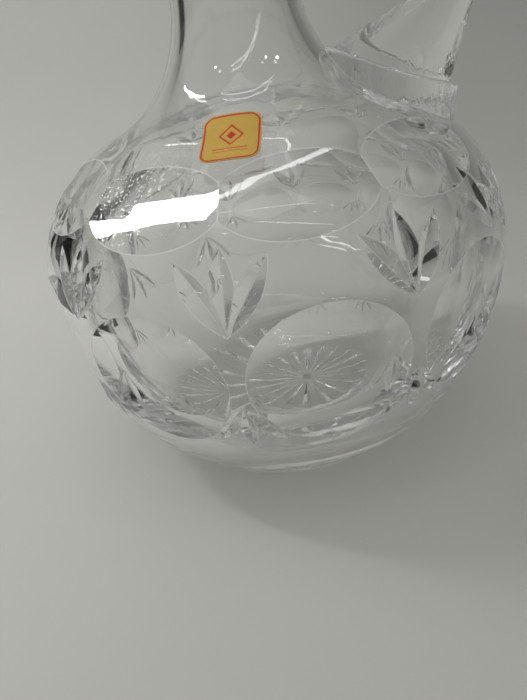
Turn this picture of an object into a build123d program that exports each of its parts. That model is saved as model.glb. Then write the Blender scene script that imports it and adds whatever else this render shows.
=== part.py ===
from build123d import *
import os
from math import acos, asin, atan2, cos, degrees, hypot, radians, sin, sqrt, tan

# Cut lead crystal decanter with an applied glass handle and a silver-plated mount:
# a collar bedded on the neck, a pouring beak and a lid on a hinge over the handle.
# Millimetres. Origin at the middle of the base, +Z up, +X towards the handle, the beak at -X.

# Outer shape of the vessel
belly_radius = 72.5
belly_height = 63.5
base_arc_radius = 80.3
shoulder_arc_radius = 43.5
throat_arc_radius = 36.3
throat_radius = 17.0
neck_radius = 18.6
neck_seat_length = 19.0
rim_rounding = 1.0

# Inner shape of the vessel
belly_wall = 7.0
throat_wall = 3.6
mouth_wall = 3.2
base_thickness = 11.0
well_rounding = 24.0

# Cut decoration, repeated round the body
repeats = 10
mitre_half_angle = 60.0
mitre_wheel_half_width = 5.0
leaf_tilt = 33.0
upper_fan_height = 71.5
upper_leaf_length = 20.0
upper_leaf_wheel = 75.0
lower_fan_height = 51.5
lower_leaf_length = 16.5
lower_leaf_wheel = 42.0
printy_height = 57.0
printy_radius = 20.4
printy_wheel = 200.0
oval_height = 97.0
oval_depth = 2.1
oval_wheel = 120.0
oval_wheel_half_height = 17.0
oval_wheel_half_width = 27.0
star_rays = 20
star_button_radius = 3.0
star_groove_depth = 2.2
star_wheel_height = 3.3
star_wheel_overrun = 12.4

# Applied handle: a pad on the shoulder, a flared foot and a tapering rod back to the neck
pad_toe = 28.5
pad_toe_radius = 5.5
pad_heel = 45.7
pad_heel_radius = 12.5
pad_top_height = 113.0
pad_top_reach = 40.0
pad_top_slope = 22.0
pad_edge_rounding = 0.6
foot_margin = 2.0
rod_foot_reach = 53.8
rod_foot_height = 126.0
rod_lean = 16.0
rod_foot_radius = 7.7
rod_crown_radius = 5.9
rod_neck_radius = 7.2
rod_sections = 11
rod_taper_end = 0.75
rod_back_arc = 75.0
rod_back_turn = 34.0
rod_crown_arc = 18.0
rod_crown_turn = 82.0
rod_clearance = 0.8

# Collar on the neck, standing clear of the rod by the clearance above
bedding = 0.8
fitting_clearance = 0.05
collar_wall = 1.3
collar_drop = 17.0
collar_rise = 12.0
ledge_width = 3.0
ledge_thickness = 1.2
gasket_thickness = 1.2
moulding_radius = 1.4

# Beak
beak_reach = 27.0
beak_radius = 8.0
beak_foot_drop = 24.0
beak_foot_radius = 2.2
beak_wall = 1.2
beak_floor_radius = 3.0
beak_root = 0.3

# Lid
lid_gap = 0.35
lid_plate_thickness = 1.4
lid_overhang = 1.0
dome_radius = 15.5
dome_height = 9.0
dome_wall = 1.2
band_width = 2.0
band_height = 1.4
band_rounding = 0.6

# Hinge
hinge_offset = 5.2
knuckle_radius = 2.6
lid_knuckle_length = 7.0
bracket_knuckle_length = 4.5
knuckle_gap = 0.35
pin_radius = 1.1
running_clearance = 0.05
pin_cap_radius = 2.0
strap_thickness = 1.3
strap_reach = 17.0
strap_rivet_reach = 19.2
strap_rivet_spacing = 3.6
rivet_radius = 0.8
rivet_head_radius = 1.3
rivet_head_height = 0.6
bracket_plate_height = 11.0
bracket_plate_thickness = 1.4
bracket_web_angle = -50.0
strap_underside_angle = 150.0
strap_topside_angle = 45.0

# Thumb piece on the strap
thumb_height = 18.0
thumb_thickness = 2.0
thumb_width = 9.0
thumb_curl_radius = 2.4
thumb_reach = 23.6
thumb_lean = 4.5
thumb_bow = 1.44

# Knob and its fastening
knob_radius = 5.6
knob_height = 16.0
knob_foot_radius = 4.6
knob_waist_radius = 2.6
knob_foot_height = 1.6
knob_waist_height = 4.0
stud_radius = 1.5
stud_grip = 7.0
stud_tail = 1.0
washer_radius = 3.6
washer_thickness = 0.6
nut_across_flats = 5.5
nut_thickness = 2.4

# Foil label on the shoulder, to the left of the handle
label_width = 14.5
label_height = 17.0
label_corner = 3.0
label_thickness = 0.15
adhesive = 0.12
label_longitude = -88.0
label_middle_height = 106.2

# Levels and radii that follow from the sizes above
shoulder_centre = (belly_radius - shoulder_arc_radius, belly_height)
throat_centre_reach = throat_radius + throat_arc_radius
throat_height = belly_height + sqrt(
    (shoulder_arc_radius + throat_arc_radius) ** 2 - (throat_centre_reach - shoulder_centre[0]) ** 2
)
throat_centre = (throat_centre_reach, throat_height)
base_arc_centre = (belly_radius - base_arc_radius, belly_height)
base_radius = base_arc_centre[0] + sqrt(base_arc_radius**2 - belly_height**2)
mouth_radius = neck_radius - mouth_wall
back_start = radians(90 - rod_lean)
back_end = back_start + radians(rod_back_turn)
rod_rise = rod_back_arc * (cos(back_start) - cos(back_end)) + rod_crown_arc * (cos(back_end) + 1)
neck_top = rod_foot_height + rod_rise + rod_crown_radius + rod_clearance + collar_drop
seat_height = neck_top - neck_seat_length
collar_inner_radius = neck_radius + bedding
collar_radius = collar_inner_radius + collar_wall
collar_bottom = neck_top - collar_drop
collar_top = neck_top + collar_rise
ledge_bottom = neck_top + gasket_thickness
ledge_top = ledge_bottom + ledge_thickness
lid_bottom = collar_top + lid_gap
lid_top = lid_bottom + lid_plate_thickness
dome_top = lid_top + dome_height
hinge_reach = collar_radius + hinge_offset
hinge_height = collar_top + lid_gap / 2
pin_half_length = lid_knuckle_length / 2 + knuckle_gap + bracket_knuckle_length
steep = tan(radians(mitre_half_angle))
standing = (Align.CENTER, Align.CENTER, Align.MIN)
hanging = (Align.CENTER, Align.CENTER, Align.MAX)


def meridian(inset, throat_inset, top_radius, floor, top):
    """Half section of the vessel from the axis at its floor to the axis at its top, less the insets."""
    base_arc = base_arc_radius - inset
    shoulder_arc = shoulder_arc_radius - inset
    throat_arc = throat_arc_radius + throat_inset
    run = throat_centre[0] - shoulder_centre[0]
    rise = throat_centre[1] - shoulder_centre[1]
    turn = degrees(atan2(rise, run) - acos(min(1.0, (shoulder_arc + throat_arc) / hypot(run, rise))))
    start = degrees(asin((floor - belly_height) / base_arc))
    with BuildLine() as outline:
        below = CenterArc(base_arc_centre, base_arc, start, -start)
        shoulder = CenterArc(shoulder_centre, shoulder_arc, 0, turn)
        throat = CenterArc(throat_centre, throat_arc, 180 + turn, -turn)
        if inset > 0:
            Line(shoulder @ 1, throat @ 0)
        neck = TangentArc(throat @ 1, (top_radius, seat_height), tangent=(0, 1))
        Polyline(neck @ 1, (top_radius, top), (0, top), (0, floor), below @ 0)
    make_face(outline.edges())


def elevation_at(height):
    """Angle of the outward normal above the horizon where the outer surface has this height."""
    arc = shoulder_arc_radius if height > belly_height else base_arc_radius
    return degrees(asin((height - belly_height) / arc))


def facing(longitude, elevation, reach, height):
    """Plane at this reach from the axis and this height: x level, y up the meridian, z outwards."""
    east, north = cos(radians(longitude)), sin(radians(longitude))
    outwards = (cos(radians(elevation)) * east, cos(radians(elevation)) * north, sin(radians(elevation)))
    return Plane(origin=(reach * east, reach * north, height), x_dir=(-north, east, 0), z_dir=outwards)


def on_surface(longitude, elevation, tilt=0.0, out=0.0):
    """Place on the outer surface, stood off along its normal and turned about it."""
    arc, centre = (base_arc_radius, base_arc_centre)
    if elevation > 0:
        arc, centre = (shoulder_arc_radius, shoulder_centre)
    reach = centre[0] + arc * cos(radians(elevation))
    height = centre[1] + arc * sin(radians(elevation))
    return facing(longitude, elevation, reach, height).offset(out).location * Rotation(0, 0, tilt)


def fan_places(fan_height, leaf_length, wheel, upward):
    """Where the mitre wheel stands for the three leaves of every fan at this height."""
    arc = shoulder_arc_radius if upward > 0 else base_arc_radius
    depth = (leaf_length / 2) ** 2 / 2 * (1 / arc + 1 / wheel)
    root = elevation_at(fan_height)
    reach = belly_radius - arc + arc * cos(radians(root))
    places = []
    for fan in range(repeats):
        for side in (-1, 0, 1):
            along = upward * leaf_length / 2 * cos(radians(side * leaf_tilt))
            across = leaf_length / 2 * sin(radians(side * leaf_tilt))
            longitude = (fan + 0.5) * 360 / repeats + degrees(across / reach)
            elevation = root + degrees(along / arc)
            places.append(on_surface(longitude, elevation, -side * upward * leaf_tilt, wheel - depth))
    return places


def mitre_wheel(radius):
    """Cutting wheel with a sharp V rim, on the x axis."""
    flank = radius - mitre_wheel_half_width / steep
    with BuildPart() as wheel:
        with BuildSketch():
            Polygon(
                (-mitre_wheel_half_width, 0),
                (mitre_wheel_half_width, 0),
                (mitre_wheel_half_width, flank),
                (0, radius),
                (-mitre_wheel_half_width, flank),
                align=None,
            )
        revolve(axis=Axis.X)
    return wheel.part


# Blanks: the uncut outside of the vessel, and the wheel that grinds the shoulder ovals
with BuildPart() as outside:
    with BuildSketch(Plane.XZ):
        meridian(0, 0, neck_radius, 0, neck_top)
    revolve(axis=Axis.Z)

with BuildPart() as oval_grinder:
    with BuildSketch(Plane.YZ):
        edge = oval_wheel - sqrt(oval_wheel**2 - oval_wheel_half_height**2)
        with BuildLine():
            rim = ThreePointArc((-oval_wheel_half_height, edge), (0, 0), (oval_wheel_half_height, edge))
            Polyline(
                rim @ 1,
                (oval_wheel_half_height, oval_wheel_half_height),
                (-oval_wheel_half_height, oval_wheel_half_height),
                rim @ 0,
            )
        make_face()
    extrude(amount=oval_wheel_half_width, both=True)

with BuildPart() as star_grinder:
    half_width = star_wheel_height * steep
    with BuildSketch(Plane.YZ):
        Polygon((0, 0), (half_width, -star_wheel_height), (-half_width, -star_wheel_height), align=None)
    extrude(amount=base_radius + star_wheel_overrun)


# Vessel: blown body and neck, with the cut pattern
printy_depth = printy_radius**2 / 2 * (1 / belly_radius + 1 / printy_wheel)
printy_stand = printy_wheel - printy_depth
printy_elevation = elevation_at(printy_height)
oval_elevation = elevation_at(oval_height)
star_slope = degrees(atan2(star_groove_depth, base_radius - star_button_radius))
cell = 360 / repeats
with BuildPart() as vessel:
    add(outside.part)
    with BuildSketch(Plane.XZ):
        meridian(belly_wall, throat_wall, mouth_radius, base_thickness, neck_top)
        well_corner = vertices().group_by(Axis.Y)[0].sort_by(Axis.X)[-1]
        fillet(well_corner, well_rounding)
    revolve(axis=Axis.Z, mode=Mode.SUBTRACT)
    fillet(edges().filter_by(GeomType.CIRCLE).group_by(Axis.Z)[-1], rim_rounding)
    with Locations(*[on_surface(cell * n, oval_elevation, out=-oval_depth) for n in range(1, repeats)]):
        add(oval_grinder.part, mode=Mode.SUBTRACT)
    with Locations(*[on_surface(cell * n, printy_elevation, out=printy_stand) for n in range(repeats)]):
        Sphere(printy_wheel, mode=Mode.SUBTRACT)
    with Locations(*fan_places(upper_fan_height, upper_leaf_length, upper_leaf_wheel, 1)):
        add(mitre_wheel(upper_leaf_wheel), mode=Mode.SUBTRACT)
    with Locations(*fan_places(lower_fan_height, lower_leaf_length, lower_leaf_wheel, -1)):
        add(mitre_wheel(lower_leaf_wheel), mode=Mode.SUBTRACT)
    with PolarLocations(0, star_rays, start_angle=180 / star_rays):
        with Locations(Location((star_button_radius, 0, 0), (0, -star_slope, 0))):
            add(star_grinder.part, mode=Mode.SUBTRACT)


# Handle: pad, flared foot and rod, fused to the shoulder and the neck
slope = radians(pad_top_slope)
lean = radians(rod_lean)
pad_top = Plane(
    origin=(pad_top_reach, 0, pad_top_height),
    x_dir=(cos(slope), 0, -sin(slope)),
    z_dir=(sin(slope), 0, cos(slope)),
)
rod_section = Plane(
    origin=(rod_foot_reach, 0, rod_foot_height),
    x_dir=(cos(lean), 0, -sin(lean)),
    z_dir=(sin(lean), 0, cos(lean)),
)
pad_turn = acos((pad_heel_radius - pad_toe_radius) / (pad_heel - pad_toe))
foot_half_length = (pad_heel + pad_heel_radius - pad_toe + pad_toe_radius) / 2 - foot_margin
foot_middle = (pad_heel + pad_heel_radius + pad_toe - pad_toe_radius) / 2
with BuildPart() as handle:
    with BuildSketch(Plane.XY.offset(belly_height)):
        with Locations((pad_toe, 0)):
            Circle(pad_toe_radius)
        with Locations((pad_heel, 0)):
            Circle(pad_heel_radius)
        toe_edge = (pad_toe - pad_toe_radius * cos(pad_turn), pad_toe_radius * sin(pad_turn))
        heel_edge = (pad_heel - pad_heel_radius * cos(pad_turn), pad_heel_radius * sin(pad_turn))
        Polygon(toe_edge, heel_edge, (heel_edge[0], -heel_edge[1]), (toe_edge[0], -toe_edge[1]), align=None)
    extrude(amount=rod_foot_height - belly_height)
    split(bisect_by=pad_top, keep=Keep.BOTTOM)
    fillet(faces().sort_by(Axis((0, 0, 0), tuple(pad_top.z_dir)))[-1].edges(), pad_edge_rounding)
    with BuildSketch(pad_top):
        with Locations(((foot_middle - pad_top_reach) / cos(slope), 0)):
            Ellipse(foot_half_length / cos(slope), pad_heel_radius - foot_margin)
    with BuildSketch(rod_section):
        Circle(rod_foot_radius)
    loft()
    with BuildLine(Plane.XZ) as rod_line:
        back = JernArc((rod_foot_reach, rod_foot_height), (sin(lean), cos(lean)), rod_back_arc, rod_back_turn)
        crown = JernArc(back @ 1, back % 1, rod_crown_arc, rod_crown_turn)
        level = (crown @ 1).X - throat_radius / 2
        Line(crown @ 1, crown @ 1 + (crown % 1) * level)
    rod_path = rod_line.wires()[0]
    for step in range(rod_sections):
        place = step / (rod_sections - 1)
        taper = rod_foot_radius + (rod_crown_radius - rod_foot_radius) * min(1, place / rod_taper_end)
        spread = max(0, (place - rod_taper_end) / (1 - rod_taper_end))
        flare = (rod_neck_radius - rod_crown_radius) * spread**2
        with BuildSketch(Plane(origin=rod_path @ place, x_dir=(0, 1, 0), z_dir=rod_path % place)):
            Circle(taper + flare)
    loft()
    add(outside.part, mode=Mode.SUBTRACT)


# Bedding: the plaster ring between the neck and the collar
with BuildPart() as bedding_ring:
    with BuildSketch(Plane.XY.offset(collar_bottom)):
        Circle(collar_inner_radius - fitting_clearance)
        Circle(neck_radius + fitting_clearance, mode=Mode.SUBTRACT)
    extrude(amount=neck_top - rim_rounding - collar_bottom)

# Rim gasket: a cork washer between the glass rim and the collar's ledge
with BuildPart() as rim_gasket:
    with BuildSketch(Plane.XY.offset(neck_top)):
        Circle(collar_inner_radius - fitting_clearance)
        Circle(mouth_radius + rim_rounding, mode=Mode.SUBTRACT)
    extrude(amount=gasket_thickness)


def lip_outline(middle, tip, reach):
    """Plan of the mount's mouth: a circle round the neck drawn out to a small circle by its tangents."""
    turn = acos((middle - tip) / reach)
    wide = (-middle * cos(turn), middle * sin(turn))
    narrow = (-reach - tip * cos(turn), tip * sin(turn))
    with BuildLine() as outline:
        ThreePointArc((wide[0], -wide[1]), (middle, 0), wide)
        Line(wide, narrow)
        ThreePointArc(narrow, (-reach - tip, 0), (narrow[0], -narrow[1]))
        Line((narrow[0], -narrow[1]), (wide[0], -wide[1]))
    make_face(outline.edges())


def scoop(middle, tip, foot_height, foot_reach, foot_radius):
    """Pouring lip: from a small nose on the circle at its foot up to the drawn-out outline at its top."""
    with BuildPart() as lip:
        with BuildSketch(Plane.XY.offset(foot_height)):
            lip_outline(middle - beak_root, foot_radius, foot_reach)
        with BuildSketch(Plane.XY.offset(collar_top)):
            lip_outline(middle - beak_root, tip, beak_reach)
        loft(ruled=True)
    return lip.part


beak_foot = collar_top - beak_foot_drop
beak_channel = scoop(
    collar_inner_radius, beak_radius - beak_wall, ledge_top, collar_inner_radius, beak_floor_radius
)

# Collar: sleeve over the neck with an inner ledge on the rim
with BuildPart() as collar:
    with BuildSketch(Plane.XY.offset(collar_bottom)):
        Circle(collar_radius)
        Circle(collar_inner_radius, mode=Mode.SUBTRACT)
    extrude(amount=collar_top - collar_bottom)
    with BuildSketch(Plane.XY.offset(ledge_bottom)):
        Circle(collar_radius)
        Circle(collar_inner_radius - ledge_width, mode=Mode.SUBTRACT)
    extrude(amount=ledge_thickness)
    add(beak_channel, mode=Mode.SUBTRACT)

# Beak: the pouring lip soldered to the front of the collar
with BuildPart() as beak:
    add(scoop(collar_radius, beak_radius, beak_foot, collar_radius, beak_foot_radius))
    with BuildSketch(Plane.XY.offset(beak_foot)):
        Circle(collar_radius)
    extrude(amount=beak_foot_drop, mode=Mode.SUBTRACT)
    add(beak_channel, mode=Mode.SUBTRACT)

# Foot moulding: half-round wire soldered round the lower edge of the collar
with BuildPart() as foot_moulding:
    with BuildSketch(Plane.XZ):
        with BuildLine():
            bead = CenterArc((collar_radius, collar_bottom + moulding_radius), moulding_radius, -90, 180)
            Line(bead @ 1, bead @ 0)
        make_face()
    revolve(axis=Axis.Z)

# Lid: flat rim over collar and beak, raised into a hollow dome
dome_arc = (dome_radius**2 + dome_height**2) / (2 * dome_height)
dome_centre = dome_top - dome_arc


def dome_section(arc, bottom):
    """Half section of the dome's outside or inside, from its crown down to this level."""
    edge = sqrt(arc**2 - (lid_top - dome_centre) ** 2)
    halfway = asin(edge / arc) / 2
    with BuildLine() as outline:
        ThreePointArc(
            (edge, lid_top),
            (arc * sin(halfway), dome_centre + arc * cos(halfway)),
            (0, dome_centre + arc),
        )
        Polyline((0, dome_centre + arc), (0, bottom), (edge, bottom), (edge, lid_top))
    make_face(outline.edges())


with BuildPart() as lid:
    with BuildSketch(Plane.XY.offset(lid_bottom)):
        lip_outline(collar_radius + lid_overhang, beak_radius + lid_overhang, beak_reach)
    extrude(amount=lid_plate_thickness)
    with BuildSketch(Plane.XZ):
        dome_section(dome_arc, lid_bottom)
    revolve(axis=Axis.Z)
    with BuildSketch(Plane.XZ):
        dome_section(dome_arc - dome_wall, lid_bottom)
    revolve(axis=Axis.Z, mode=Mode.SUBTRACT)
    with Locations((0, 0, dome_top)):
        Cylinder(stud_radius + fitting_clearance, 2 * dome_height, mode=Mode.SUBTRACT)
    with Locations(*[(strap_rivet_reach, side * strap_rivet_spacing / 2, lid_top) for side in (-1, 1)]):
        Cylinder(rivet_radius + fitting_clearance, 4 * lid_plate_thickness, mode=Mode.SUBTRACT)

# Lid band: half-round moulding along the edge of the lid, broken where the strap crosses it
with BuildPart() as lid_band:
    with BuildSketch(Plane.XY.offset(lid_top)):
        lip_outline(collar_radius + lid_overhang, beak_radius + lid_overhang, beak_reach)
    extrude(amount=band_height)
    with BuildSketch(Plane.XY.offset(lid_top)):
        inner_overhang = lid_overhang - band_width
        lip_outline(collar_radius + inner_overhang, beak_radius + inner_overhang, beak_reach)
    extrude(amount=band_height, mode=Mode.SUBTRACT)
    fillet(faces().sort_by(Axis.Z)[-1].edges(), band_rounding)
    with Locations((collar_radius, 0, lid_top)):
        Box(collar_radius, lid_knuckle_length + 2 * knuckle_gap, 4 * band_height, mode=Mode.SUBTRACT)


# Hinge: bracket with two knuckles on the collar, strap with one knuckle on the lid, pin and caps
def on_knuckle(angle):
    """Point on the rim of the knuckles at this angle above the level line away from the collar."""
    turn = radians(angle)
    return (hinge_reach + knuckle_radius * cos(turn), hinge_height + knuckle_radius * sin(turn))


def knuckle(length, middle):
    """Barrel of the hinge round its axis, centred at this distance along it."""
    with Locations(Location((hinge_reach, middle, hinge_height), (90, 0, 0))):
        Cylinder(knuckle_radius, length)


def hinge_bore(radius):
    """Bore for the pin through everything on the hinge's axis."""
    with Locations(Location((hinge_reach, 0, hinge_height), (90, 0, 0))):
        Cylinder(radius, 3 * pin_half_length, mode=Mode.SUBTRACT)


knuckle_middle = (lid_knuckle_length + bracket_knuckle_length) / 2 + knuckle_gap
with BuildPart() as hinge_bracket:
    for side in (-1, 1):
        knuckle(bracket_knuckle_length, side * knuckle_middle)
        with BuildSketch(Plane.XZ.offset(-side * knuckle_middle)):
            Polygon(
                (collar_radius - collar_wall, hinge_height),
                (hinge_reach, hinge_height),
                on_knuckle(bracket_web_angle),
                (collar_radius + bracket_plate_thickness, collar_top - bracket_plate_height),
                (collar_radius - collar_wall, collar_top - bracket_plate_height),
                align=None,
            )
        extrude(amount=bracket_knuckle_length / 2, both=True)
    with Locations((collar_radius + bracket_plate_thickness / 2, 0, collar_top - bracket_plate_height)):
        plate_rise = bracket_plate_height - knuckle_radius - knuckle_gap
        Box(2 * bracket_plate_thickness, 2 * pin_half_length, plate_rise, align=standing)
    with BuildSketch(Plane.XY.offset(collar_bottom)):
        Circle(collar_radius)
    extrude(amount=hinge_height + knuckle_radius - collar_bottom, mode=Mode.SUBTRACT)
    hinge_bore(pin_radius + fitting_clearance)

with BuildPart() as lid_strap:
    knuckle(lid_knuckle_length, 0)
    with BuildSketch(Plane.XZ):
        with BuildLine():
            Polyline(
                (strap_reach, lid_top),
                (collar_radius + lid_overhang + knuckle_gap, lid_top),
                on_knuckle(strap_underside_angle),
                (hinge_reach, hinge_height),
                on_knuckle(strap_topside_angle),
                (hinge_reach, lid_top + strap_thickness),
                (strap_reach, lid_top + strap_thickness),
                (strap_reach, lid_top),
            )
        make_face()
    extrude(amount=lid_knuckle_length / 2, both=True)
    hinge_bore(pin_radius + running_clearance)
    with Locations(*[(strap_rivet_reach, side * strap_rivet_spacing / 2, lid_top) for side in (-1, 1)]):
        Cylinder(rivet_radius + fitting_clearance, 4 * lid_plate_thickness, mode=Mode.SUBTRACT)

with BuildPart() as hinge_pin:
    with Locations(Location((hinge_reach, 0, hinge_height), (90, 0, 0))):
        Cylinder(pin_radius, 2 * pin_half_length)

with BuildPart() as pin_caps:
    for side in (-1, 1):
        with Locations(Location((hinge_reach, side * pin_half_length, hinge_height), (-90 * side, 0, 0))):
            Sphere(pin_cap_radius, arc_size1=0, align=standing)

with BuildPart() as strap_rivets:
    for side in (-1, 1):
        with Locations((strap_rivet_reach, side * strap_rivet_spacing / 2, lid_bottom)):
            Cylinder(rivet_radius, lid_plate_thickness + strap_thickness, align=standing)
        with Locations((strap_rivet_reach, side * strap_rivet_spacing / 2, lid_top + strap_thickness)):
            Cylinder(rivet_head_radius, rivet_head_height, align=standing)

# Thumb piece: lever standing on the strap over the hinge, with a curled tip
with BuildPart() as thumb_piece:
    foot = lid_top + strap_thickness
    with BuildSketch(Plane.XZ):
        with BuildLine():
            stem = ThreePointArc(
                (thumb_reach, foot),
                (thumb_reach + thumb_bow, foot + thumb_height / 2),
                (thumb_reach + thumb_lean, foot + thumb_height),
            )
            offset(stem, amount=thumb_thickness / 2)
        make_face()
        with Locations((thumb_reach + thumb_lean, foot + thumb_height)):
            Circle(thumb_curl_radius)
    extrude(amount=thumb_width / 2, both=True)
    split(bisect_by=Plane.XY.offset(foot), keep=Keep.TOP)

# Knob with a threaded stud, washer and nut inside the dome
with BuildPart() as knob:
    with BuildSketch(Plane.XZ):
        with BuildLine():
            ball_height = dome_top + knob_height - knob_radius
            join = asin(knob_waist_radius / knob_radius)
            Polyline(
                (0, dome_top + knob_height),
                (0, dome_top),
                (knob_foot_radius, dome_top),
                (knob_foot_radius, dome_top + knob_foot_height),
                (knob_waist_radius, dome_top + knob_waist_height),
                (knob_waist_radius, ball_height - knob_radius * cos(join)),
            )
            ThreePointArc(
                (knob_waist_radius, ball_height - knob_radius * cos(join)),
                (knob_radius, ball_height),
                (0, dome_top + knob_height),
            )
        make_face()
    revolve(axis=Axis.Z)
    with Locations((0, 0, dome_top)):
        Cylinder(stud_radius + fitting_clearance, 2 * stud_grip, mode=Mode.SUBTRACT)

inner_arc = dome_arc - dome_wall
washer_top = dome_centre + sqrt(inner_arc**2 - washer_radius**2)
with BuildPart() as knob_stud:
    with Locations((0, 0, dome_top + stud_grip)):
        stud_length = dome_top + stud_grip - washer_top + washer_thickness + nut_thickness + stud_tail
        Cylinder(stud_radius, stud_length, align=hanging)

with BuildPart() as stud_washer:
    with Locations((0, 0, washer_top)):
        Cylinder(washer_radius, washer_thickness, align=hanging)
        Cylinder(stud_radius + fitting_clearance, 4 * washer_thickness, mode=Mode.SUBTRACT)

with BuildPart() as stud_nut:
    with BuildSketch(Plane.XY.offset(washer_top - washer_thickness)):
        RegularPolygon(nut_across_flats / 2, 6, major_radius=False)
        Circle(stud_radius + fitting_clearance, mode=Mode.SUBTRACT)
    extrude(amount=-nut_thickness)

# Foil label: a thin skin that follows the shoulder, cut to a rounded outline
label_rake = degrees(asin((throat_height - label_middle_height) / throat_arc_radius))
label_reach = throat_centre_reach - throat_arc_radius * cos(radians(label_rake))
label_plane = facing(label_longitude, label_rake, label_reach, label_middle_height).offset(-label_height / 2)
with BuildPart() as label:
    with BuildSketch(Plane.XZ):
        meridian(-adhesive - label_thickness, -adhesive - label_thickness, neck_radius, 0, neck_top)
    revolve(axis=Axis.Z)
    with BuildSketch(Plane.XZ):
        meridian(-adhesive, -adhesive, neck_radius, 0, neck_top)
    revolve(axis=Axis.Z, mode=Mode.SUBTRACT)
    with BuildSketch(label_plane):
        RectangleRounded(label_width, label_height, label_corner)
    extrude(amount=label_height, mode=Mode.INTERSECT)


os.makedirs("parts", exist_ok=True)
pieces = {
    "vessel": vessel,
    "handle": handle,
    "bedding": bedding_ring,
    "rim_gasket": rim_gasket,
    "collar": collar,
    "foot_moulding": foot_moulding,
    "beak": beak,
    "hinge_bracket": hinge_bracket,
    "hinge_pin": hinge_pin,
    "pin_caps": pin_caps,
    "lid": lid,
    "lid_band": lid_band,
    "lid_strap": lid_strap,
    "strap_rivets": strap_rivets,
    "thumb_piece": thumb_piece,
    "knob": knob,
    "knob_stud": knob_stud,
    "stud_washer": stud_washer,
    "stud_nut": stud_nut,
    "label": label,
}
for name, piece in pieces.items():
    piece.part.label = name
    export_step(piece.part, f"parts/{name}.step")
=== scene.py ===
import math

import bmesh
import bpy
from mathutils import Matrix, Vector
from mathutils.bvhtree import BVHTree

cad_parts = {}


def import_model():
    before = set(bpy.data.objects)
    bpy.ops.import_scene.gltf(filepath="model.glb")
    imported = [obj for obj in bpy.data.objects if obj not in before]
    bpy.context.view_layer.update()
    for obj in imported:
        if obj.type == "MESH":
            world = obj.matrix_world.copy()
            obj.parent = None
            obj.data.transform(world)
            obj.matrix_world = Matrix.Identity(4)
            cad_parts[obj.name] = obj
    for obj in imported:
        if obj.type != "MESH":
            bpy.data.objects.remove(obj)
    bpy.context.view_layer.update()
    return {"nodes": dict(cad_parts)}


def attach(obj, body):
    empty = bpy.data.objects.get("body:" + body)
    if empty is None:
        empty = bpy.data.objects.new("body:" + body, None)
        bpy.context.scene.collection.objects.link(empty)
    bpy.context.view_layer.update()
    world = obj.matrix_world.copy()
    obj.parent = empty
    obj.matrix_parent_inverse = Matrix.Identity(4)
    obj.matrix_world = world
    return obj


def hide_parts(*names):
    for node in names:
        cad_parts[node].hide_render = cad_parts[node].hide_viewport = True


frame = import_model()
nodes = frame["nodes"]

MM = 0.001

# Glass piece: welding, how handle and body join, and what counts as a cut edge
WELD = 0.002 * MM
CONTACT = 0.03 * MM
SINK = 0.5 * MM
CREASE = math.radians(9)
CUT_EDGE_RADIUS = 0.4 * MM
SPECKS_MIDDLE = Vector((-24, -45, 100)) * MM
SPECKS_REACH = (8 * MM, 24 * MM)
PAD_MIDDLE = Vector((43, 0, 105)) * MM
PAD_REACH = (15 * MM, 20 * MM)
GLASS_IOR = 1.55
NOISE_ROUGHNESS = 0.55

# Label: its middle and directions on the shoulder, and its print
LABEL_LONGITUDE = math.radians(-88)
LABEL_RAKE = math.radians(66.5)
LABEL_MIDDLE = Vector((1.36, -38.9, 106.2)) * MM
LABEL_HALF = (7.25 * MM, 8.5 * MM)
LABEL_CORNER = 3.0 * MM
GOLD = (0.72, 0.47, 0.10, 1)
RED = (0.45, 0.022, 0.015, 1)

# Camera, from the photograph: place, and the directions right, up and ahead
CAMERA_PLACE = Vector((0.031102, -0.169463, 0.129992))
CAMERA_RIGHT = Vector((0.97869077, 0.13642083, -0.15347224))
CAMERA_UP = Vector((0.05501759, 0.54586578, 0.83606436))
CAMERA_AHEAD = Vector((-0.19783184, 0.82669215, -0.52672826))
FOCAL_PIXELS = 535.607
FRAME_HEIGHT = 700
SENSOR = 36.0

# Stage
FLOOR_COLOUR = (0.44, 0.44, 0.415, 1)
WALL_DISTANCE = 0.75
SWEEP_RADIUS = 0.45
SWEEP_STEPS = 24
STAGE_HALF_WIDTH = 2.5
STAGE_FRONT = -2.0
STAGE_TOP = 2.2

# Black cards: name, distance to the side, reach along and above the floor
FLAGS = (
    ("flag_left", -0.45, (-0.28, 0.30), (0.02, 0.26)),
    ("flag_right", 0.55, (-0.3, 0.2), (0.05, 0.26)),
)

# Light: strips are name, start, end, width and radiance
ROOM_LOW = (0.27, 0.27, 0.265)
ROOM_HIGH = (0.32, 0.32, 0.315)
LAMP_HEIGHT = 1.2
AIM = Vector((0, 0, 0.05))
STRIPS = (
    ("window", (-1.15, 0.17), (-0.66, -0.057), 0.034, 50.0),
    ("tube_back", (-0.36, -0.20), (0.49, -0.16), 0.012, 9.0),
    ("tube_front", (-0.285, -0.613), (1.2, -1.07), 0.02, 9.0),
)
SPOTS = ((-0.554, -0.573), (0.616, -0.466), (0.835, -0.233))
SPOT_SIZE = 0.04
SPOT_RADIANCE = 60.0
KEY_PLACE = (-0.80, 0.15, 1.05)
KEY_SIZE = 0.3
KEY_COLOUR = (1.0, 0.99, 0.97)
KEY_BLOCKED_POWER = 1.7
KEY_THROUGH_POWER = 7.9
FILL_PLACE = (-0.1, -0.1, 1.7)
FILL_SIZE = 1.1
FILL_POWER = 4.0


# Materials


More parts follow.
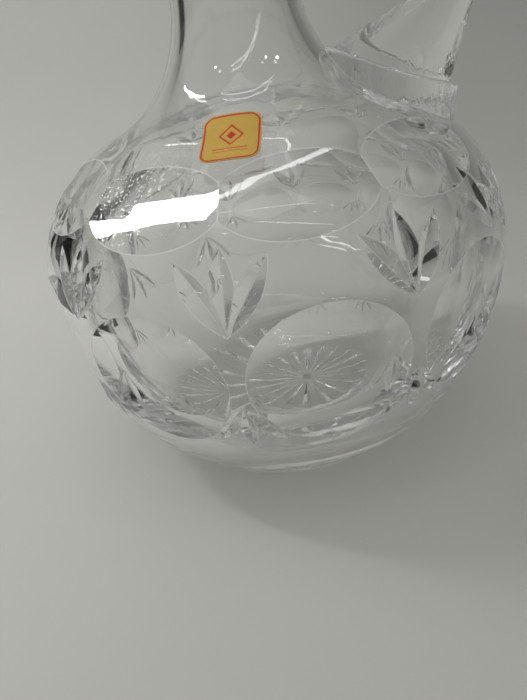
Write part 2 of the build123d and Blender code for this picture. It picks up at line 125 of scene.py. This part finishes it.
class Shader:
    """A material and short ways to add nodes to it."""

    def __init__(self, name):
        self.material = bpy.data.materials.new(name)
        self.material.use_nodes = True
        self.tree = self.material.node_tree
        self.surface = self.tree.nodes["Principled BSDF"]
        self.place = None

    def add(self, kind, **settings):
        made = self.tree.nodes.new(kind)
        for key, value in settings.items():
            setattr(made, key, value)
        return made

    def feed(self, socket, value):
        if isinstance(value, bpy.types.NodeSocket):
            self.tree.links.new(value, socket)
        else:
            socket.default_value = value

    def set(self, **values):
        for key, value in values.items():
            self.feed(self.surface.inputs[key.replace("_", " ")], value)

    def coordinates(self):
        """Place in the object's own frame, which is the row frame at rest."""
        if self.place is None:
            self.place = self.add("ShaderNodeTexCoord").outputs["Object"]
        return self.place

    def noise(self, scale, detail=3.0, stretch=None):
        made = self.add("ShaderNodeTexNoise")
        place = self.coordinates()
        if stretch:
            place = self.vector("MULTIPLY", place, stretch)
        self.feed(made.inputs["Vector"], place)
        self.feed(made.inputs["Scale"], scale)
        self.feed(made.inputs["Detail"], detail)
        self.feed(made.inputs["Roughness"], NOISE_ROUGHNESS)
        return made.outputs["Fac"]

    def spots(self, scale):
        made = self.add("ShaderNodeTexVoronoi")
        self.feed(made.inputs["Vector"], self.coordinates())
        self.feed(made.inputs["Scale"], scale)
        return made.outputs["Distance"]

    def vector(self, operation, a, b=None):
        made = self.add("ShaderNodeVectorMath", operation=operation)
        self.feed(made.inputs[0], a)
        if b is not None:
            self.feed(made.inputs[1], b)
        return made.outputs["Value" if operation in ("DOT_PRODUCT", "LENGTH") else "Vector"]

    def math(self, operation, a, b=0.0):
        made = self.add("ShaderNodeMath", operation=operation)
        self.feed(made.inputs[0], a)
        self.feed(made.inputs[1], b)
        return made.outputs["Value"]

    def span(self, value, low, high, to_low, to_high):
        """value, moved from low..high to to_low..to_high, and held inside it."""
        made = self.add("ShaderNodeMapRange")
        sockets = ("Value", "From Min", "From Max", "To Min", "To Max")
        for socket, number in zip(sockets, (value, low, high, to_low, to_high)):
            self.feed(made.inputs[socket], number)
        return made.outputs["Result"]

    def mix(self, factor, a, b):
        made = self.add("ShaderNodeMix", data_type="RGBA")
        self.feed(made.inputs["Factor"], factor)
        self.feed(made.inputs["A"], a)
        self.feed(made.inputs["B"], b)
        return made.outputs["Result"]

    def bump(self, height, distance, strength=1.0, normal=None):
        made = self.add("ShaderNodeBump")
        self.feed(made.inputs["Height"], height)
        self.feed(made.inputs["Distance"], distance)
        self.feed(made.inputs["Strength"], strength)
        if normal is not None:
            self.feed(made.inputs["Normal"], normal)
        self.feed(self.surface.inputs["Normal"], made.outputs["Normal"])


def distance_to(made, middle, stretch=(1, 1, 1)):
    """Distance from a point, with its directions stretched."""
    apart = made.vector("SUBTRACT", made.coordinates(), middle)
    return made.vector("LENGTH", made.vector("MULTIPLY", apart, stretch))


def crystal():
    """Lead crystal: clear and faintly uneven, its cut edges rounded and lightly frosted."""
    made = Shader("lead_crystal")
    rounded = made.add("ShaderNodeBevel", samples=4)
    made.feed(rounded.inputs["Radius"], CUT_EDGE_RADIUS)
    plain = made.add("ShaderNodeNewGeometry").outputs["Normal"]
    aligned = made.math("ABSOLUTE", made.vector("DOT_PRODUCT", rounded.outputs["Normal"], plain))
    edge = made.span(aligned, 0.985, 0.998, 1.0, 0.0)
    near = made.span(distance_to(made, SPECKS_MIDDLE), *SPECKS_REACH, 1, 0)
    specks = made.math("MULTIPLY", made.span(made.noise(1500, 2), 0.60, 0.66, 0, 1), near)
    frost = made.math("MAXIMUM", edge, specks)
    clouds = made.span(made.noise(60, 4), 0.45, 0.75, 0.0, 0.008)
    tint = made.mix(made.noise(25), (0.985, 0.99, 0.985, 1), (0.995, 0.995, 0.99, 1))
    made.set(Base_Color=tint, IOR=GLASS_IOR, Transmission_Weight=made.span(frost, 0, 1, 1.0, 0.45))
    made.set(Roughness=made.math("ADD", clouds, made.span(frost, 0, 1, 0.0, 0.2)))
    on_pad = made.span(distance_to(made, PAD_MIDDLE, (1, 1, 1.4)), *PAD_REACH, 20.0, 0.0)
    ridges = made.math("MULTIPLY", made.noise(600, 2, stretch=(1, 1, 0.12)), on_pad)
    waves = made.math("ADD", made.noise(35, 1.0), ridges)
    made.bump(waves, 0.05 * MM, 0.4, rounded.outputs["Normal"])
    return made.material


def silver():
    made = Shader("silver_plate")
    haze = made.noise(70, 4)
    fine = made.noise(900, 2)
    colour = made.mix(made.span(haze, 0.45, 0.7, 0, 1), (0.86, 0.85, 0.83, 1), (0.74, 0.71, 0.66, 1))
    made.set(Base_Color=colour, Metallic=1.0)
    scratches = made.span(fine, 0.3, 0.7, 0.0, 0.05)
    made.set(Roughness=made.math("ADD", made.span(haze, 0.35, 0.7, 0.10, 0.24), scratches))
    made.bump(fine, 0.01 * MM, 0.5)
    return made.material


def brass():
    made = Shader("brass")
    haze = made.noise(160, 4)
    made.set(Base_Color=made.mix(haze, (0.83, 0.62, 0.29, 1), (0.62, 0.42, 0.18, 1)), Metallic=1.0)
    made.set(Roughness=made.span(haze, 0.3, 0.7, 0.18, 0.38))
    made.bump(made.noise(1200, 2), 0.01 * MM, 0.6)
    return made.material


def plaster():
    made = Shader("plaster")
    grain = made.noise(700, 5)
    made.set(Base_Color=made.mix(grain, (0.72, 0.70, 0.65, 1), (0.86, 0.85, 0.81, 1)), Roughness=0.9)
    made.bump(grain, 0.08 * MM, 0.8)
    return made.material


def cork():
    made = Shader("cork")
    grain = made.noise(500, 5)
    pores = made.span(made.spots(900), 0.1, 0.35, 0, 1)
    bark = made.mix(grain, (0.42, 0.26, 0.13, 1), (0.62, 0.42, 0.24, 1))
    made.set(Base_Color=made.mix(pores, (0.16, 0.08, 0.04, 1), bark), Roughness=0.85)
    made.bump(pores, 0.1 * MM, 0.7)
    return made.material


def inside(made, value, low, high):
    """1 where value lies between low and high, else 0."""
    above = made.math("GREATER_THAN", value, low)
    return made.math("MULTIPLY", above, made.math("LESS_THAN", value, high))


def label_print(made):
    """1 where the label is printed red: a border, a lozenge in a lozenge, and two rules."""
    level = Vector((-math.sin(LABEL_LONGITUDE), math.cos(LABEL_LONGITUDE), 0))
    east = Vector((math.cos(LABEL_LONGITUDE), math.sin(LABEL_LONGITUDE), 0))
    out = east * math.cos(LABEL_RAKE) + Vector((0, 0, math.sin(LABEL_RAKE)))
    place = made.vector("SUBTRACT", made.coordinates(), LABEL_MIDDLE)
    across = made.math("ABSOLUTE", made.vector("DOT_PRODUCT", place, level))
    up = made.vector("DOT_PRODUCT", place, out.cross(level))
    squares = []
    for reach, half in zip((across, made.math("ABSOLUTE", up)), LABEL_HALF):
        beyond = made.math("MAXIMUM", made.math("SUBTRACT", reach, half - LABEL_CORNER), 0)
        squares.append(made.math("MULTIPLY", beyond, beyond))
    corner = made.math("SQRT", made.math("ADD", *squares))
    border = inside(made, corner, LABEL_CORNER - 0.75 * MM, LABEL_CORNER - 0.3 * MM)
    off_middle = made.math("ABSOLUTE", made.math("SUBTRACT", up, 1.2 * MM))
    lozenge = made.math("ADD", made.math("MULTIPLY", off_middle, 0.8), across)
    ring = inside(made, lozenge, 2.5 * MM, 3.1 * MM)
    core = inside(made, lozenge, -1, 1.2 * MM)
    upper, lower = inside(made, up, -4.2 * MM, -3.8 * MM), inside(made, up, -5.2 * MM, -5.0 * MM)
    short = made.math("LESS_THAN", across, 4.2 * MM)
    rules = made.math("MULTIPLY", made.math("ADD", upper, lower), short)
    marks = made.math("ADD", made.math("ADD", border, ring), made.math("ADD", core, rules))
    return made.math("MINIMUM", marks, 1)


def foil():
    """Gold foil with a red print."""
    made = Shader("foil")
    ink = label_print(made)
    wear = made.noise(900, 3)
    gold = made.mix(wear, [c * 0.82 for c in GOLD[:3]] + [1], GOLD)
    made.set(Base_Color=made.mix(ink, gold, RED), Metallic=made.span(ink, 0, 1, 0.45, 0.0))
    made.set(Roughness=made.span(wear, 0.3, 0.7, 0.32, 0.5))
    made.bump(made.noise(400, 2), 0.03 * MM, 0.4)
    return made.material


def floor_material():
    """Pale sheet, with painted shade that makes it a little darker to the right and towards the back."""
    made = Shader("floor")
    place = made.coordinates()
    # Painted shade: the colour falls off to the right and towards the back, as the light would.
    painted_shade_right = made.span(made.vector("DOT_PRODUCT", place, (1, 0, 0)), -0.12, 0.12, 1.0, 0.78)
    painted_shade_back = made.span(made.vector("DOT_PRODUCT", place, (0, 1, 0)), 0.1, 0.6, 1.0, 0.78)
    mottle = made.span(made.noise(6, 5), 0, 1, 0.95, 1.05)
    # Painted shade times a random mottle, from black up to the floor's colour.
    painted_shade_and_mottle = made.math("MULTIPLY", made.math("MULTIPLY", painted_shade_right, painted_shade_back), mottle)
    made.set(Base_Color=made.mix(painted_shade_and_mottle, (0, 0, 0, 1), FLOOR_COLOUR), Roughness=0.75)
    made.bump(made.noise(1500, 2), 0.05 * MM, 0.3)
    return made.material


def felt():
    made = Shader("felt")
    nap = made.mix(made.noise(300, 3), (0.006, 0.006, 0.006, 1), (0.014, 0.013, 0.012, 1))
    made.set(Base_Color=nap, Roughness=0.95)
    return made.material


def dress(finish, *names):
    """Gives CAD nodes their finish."""
    for name in names:
        nodes[name].data.materials.clear()
        nodes[name].data.materials.append(finish)


# Glass


def welded(node):
    """A copy of a CAD node's mesh with the edges of its faces joined up."""
    made = bmesh.new()
    made.from_mesh(nodes[node].data)
    bmesh.ops.remove_doubles(made, verts=made.verts, dist=WELD)
    bmesh.ops.recalc_face_normals(made, faces=made.faces)
    return made


def as_object(name, mesh):
    data = bpy.data.meshes.new(name)
    mesh.to_mesh(data)
    made = bpy.data.objects.new(name, data)
    bpy.context.scene.collection.objects.link(made)
    return made


def blown_glass(finish):
    """Vessel and handle as the one body of glass that they are."""
    vessel, handle = welded("vessel"), welded("handle")
    skin = BVHTree.FromBMesh(vessel)
    for vertex in handle.verts:
        place, normal, _, distance = skin.find_nearest(vertex.co)
        if distance < CONTACT:
            vertex.co = place - normal * SINK
    body, grip = as_object("cut_glass", vessel), as_object("grip", handle)
    union = body.modifiers.new("union", "BOOLEAN")
    union.operation, union.solver, union.object = "UNION", "EXACT", grip
    graph = bpy.context.evaluated_depsgraph_get()
    joined = bpy.data.meshes.new_from_object(body.evaluated_get(graph))
    joined.attributes.remove(joined.attributes["custom_normal"])
    body.modifiers.clear()
    body.data = joined
    bpy.data.objects.remove(grip)
    joined.materials.clear()
    joined.materials.append(finish)
    joined.shade_smooth()
    joined.set_sharp_from_angle(angle=CREASE)
    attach(body, "jug")
    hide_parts("vessel", "handle")
    return body


# Stage, light and camera


def stage():
    """Seamless sweep: floor, bend and wall in one sheet."""
    profile = [(STAGE_FRONT, 0.0), (WALL_DISTANCE - SWEEP_RADIUS, 0.0)]
    for step in range(1, SWEEP_STEPS + 1):
        turn = math.pi / 2 * step / SWEEP_STEPS
        ahead = WALL_DISTANCE - SWEEP_RADIUS + SWEEP_RADIUS * math.sin(turn)
        profile.append((ahead, SWEEP_RADIUS * (1 - math.cos(turn))))
    profile.append((WALL_DISTANCE, STAGE_TOP))
    sheet = bmesh.new()
    left = [sheet.verts.new((-STAGE_HALF_WIDTH, y, z)) for y, z in profile]
    right = [sheet.verts.new((STAGE_HALF_WIDTH, y, z)) for y, z in profile]
    for n in range(len(profile) - 1):
        sheet.faces.new((left[n], right[n], right[n + 1], left[n + 1])).smooth = True
    made = as_object("sweep", sheet)
    made.data.materials.append(floor_material())


def flag(name, x, y_range, z_range, finish):
    """Black card beside the set, out of the camera's sight, that darkens the glass's edges."""
    card = bmesh.new()
    (y0, y1), (z0, z1) = y_range, z_range
    corners = ((x, y0, z0), (x, y1, z0), (x, y1, z1), (x, y0, z1))
    card.faces.new([card.verts.new(corner) for corner in corners])
    made = as_object(name, card)
    made.data.materials.append(finish)
    made.visible_camera = made.visible_diffuse = made.visible_shadow = False


def panel(name, size, power, place, turn):
    """Rectangular lamp."""
    data = bpy.data.lights.new(name, "AREA")
    data.shape = "RECTANGLE"
    data.size, data.size_y = size
    data.energy = power
    made = bpy.data.objects.new(name, data)
    bpy.context.scene.collection.objects.link(made)
    made.matrix_world = Matrix.Translation(place) @ turn.to_4x4()
    return made


def softbox(name, place, side, power):
    """Square lamp that faces the decanter and doesn't show in its reflections."""
    place = Vector(place)
    ahead = (AIM - place).normalized()
    made = panel(name, (side, side), power, place, ahead.to_track_quat("-Z", "Y").to_matrix())
    made.visible_glossy = False
    return made


def strip(name, start, end, width, radiance):
    """Long flat lamp at lamp height, facing the decanter, given by its ends and its radiance."""
    start, end = Vector((*start, LAMP_HEIGHT)), Vector((*end, LAMP_HEIGHT))
    middle, along = (start + end) / 2, end - start
    back = middle.normalized()
    side = along.normalized()
    side = (side - back * side.dot(back)).normalized()
    turn = Matrix((side, back.cross(side), back)).transposed()
    power = radiance * math.pi * along.length * width
    panel(name, (along.length, width), power, middle, turn)


def light(glass):
    """Strips that the cuts reflect, a key lamp from the left and a soft lamp from above."""
    for name, start, end, width, radiance in STRIPS:
        strip(name, start, end, width, radiance)
    for number, (x, y) in enumerate(SPOTS):
        strip(f"spot_{number}", (x - SPOT_SIZE / 2, y), (x + SPOT_SIZE / 2, y), SPOT_SIZE, SPOT_RADIANCE)
    # Most of the key light passes through the clear glass, so the shadow stays pale.
    clear = bpy.data.collections.new("lets_light_through")
    clear.objects.link(glass)
    clear.collection_objects[0].light_linking.link_state = "EXCLUDE"
    for name, power in (("key", KEY_BLOCKED_POWER), ("key_through", KEY_THROUGH_POWER)):
        key = softbox(name, KEY_PLACE, KEY_SIZE, power)
        key.data.color = KEY_COLOUR
        key.visible_transmission = False
    key.light_linking.blocker_collection = clear
    softbox("fill", FILL_PLACE, FILL_SIZE, FILL_POWER)


def longer_paths():
    """Light reflects many times inside cut glass: shorter paths leave black patches in it."""
    cycles = bpy.context.scene.cycles
    cycles.max_bounces = 32
    cycles.glossy_bounces = 24
    cycles.transmission_bounces = 32


def world():
    """Soft grey room, a little lighter above."""
    made = bpy.data.worlds.new("studio")
    bpy.context.scene.world = made
    made.use_nodes = True
    tree = made.node_tree
    place = tree.nodes.new("ShaderNodeTexCoord")
    split = tree.nodes.new("ShaderNodeSeparateXYZ")
    ramp = tree.nodes.new("ShaderNodeValToRGB")
    tree.links.new(place.outputs["Generated"], split.inputs["Vector"])
    tree.links.new(split.outputs["Z"], ramp.inputs["Fac"])
    low, high = ramp.color_ramp.elements
    low.position, low.color = 0.0, (*ROOM_LOW, 1)
    high.position, high.color = 0.7, (*ROOM_HIGH, 1)
    tree.links.new(ramp.outputs["Color"], tree.nodes["Background"].inputs["Color"])


def camera():
    data = bpy.data.cameras.new("camera")
    data.sensor_width = SENSOR
    data.lens = SENSOR * FOCAL_PIXELS / FRAME_HEIGHT
    data.clip_start = 0.01
    made = bpy.data.objects.new("camera", data)
    bpy.context.scene.collection.objects.link(made)
    turn = Matrix((CAMERA_RIGHT, CAMERA_UP, -CAMERA_AHEAD)).transposed()
    made.matrix_world = Matrix.Translation(CAMERA_PLACE) @ turn.to_4x4()
    bpy.context.scene.camera = made


glass = blown_glass(crystal())
plate = silver()
dress(plate, "collar", "foot_moulding", "beak", "hinge_bracket", "pin_caps")
dress(plate, "lid", "lid_band", "lid_strap", "strap_rivets", "thumb_piece", "knob")
dress(brass(), "hinge_pin", "knob_stud", "stud_washer", "stud_nut")
dress(plaster(), "bedding")
dress(cork(), "rim_gasket")
dress(foil(), "label")

stage()
black = felt()
for name, x, y_range, z_range in FLAGS:
    flag(name, x, y_range, z_range, black)
world()
light(glass)
longer_paths()
camera()
bpy.context.scene.view_settings.view_transform = "Standard"
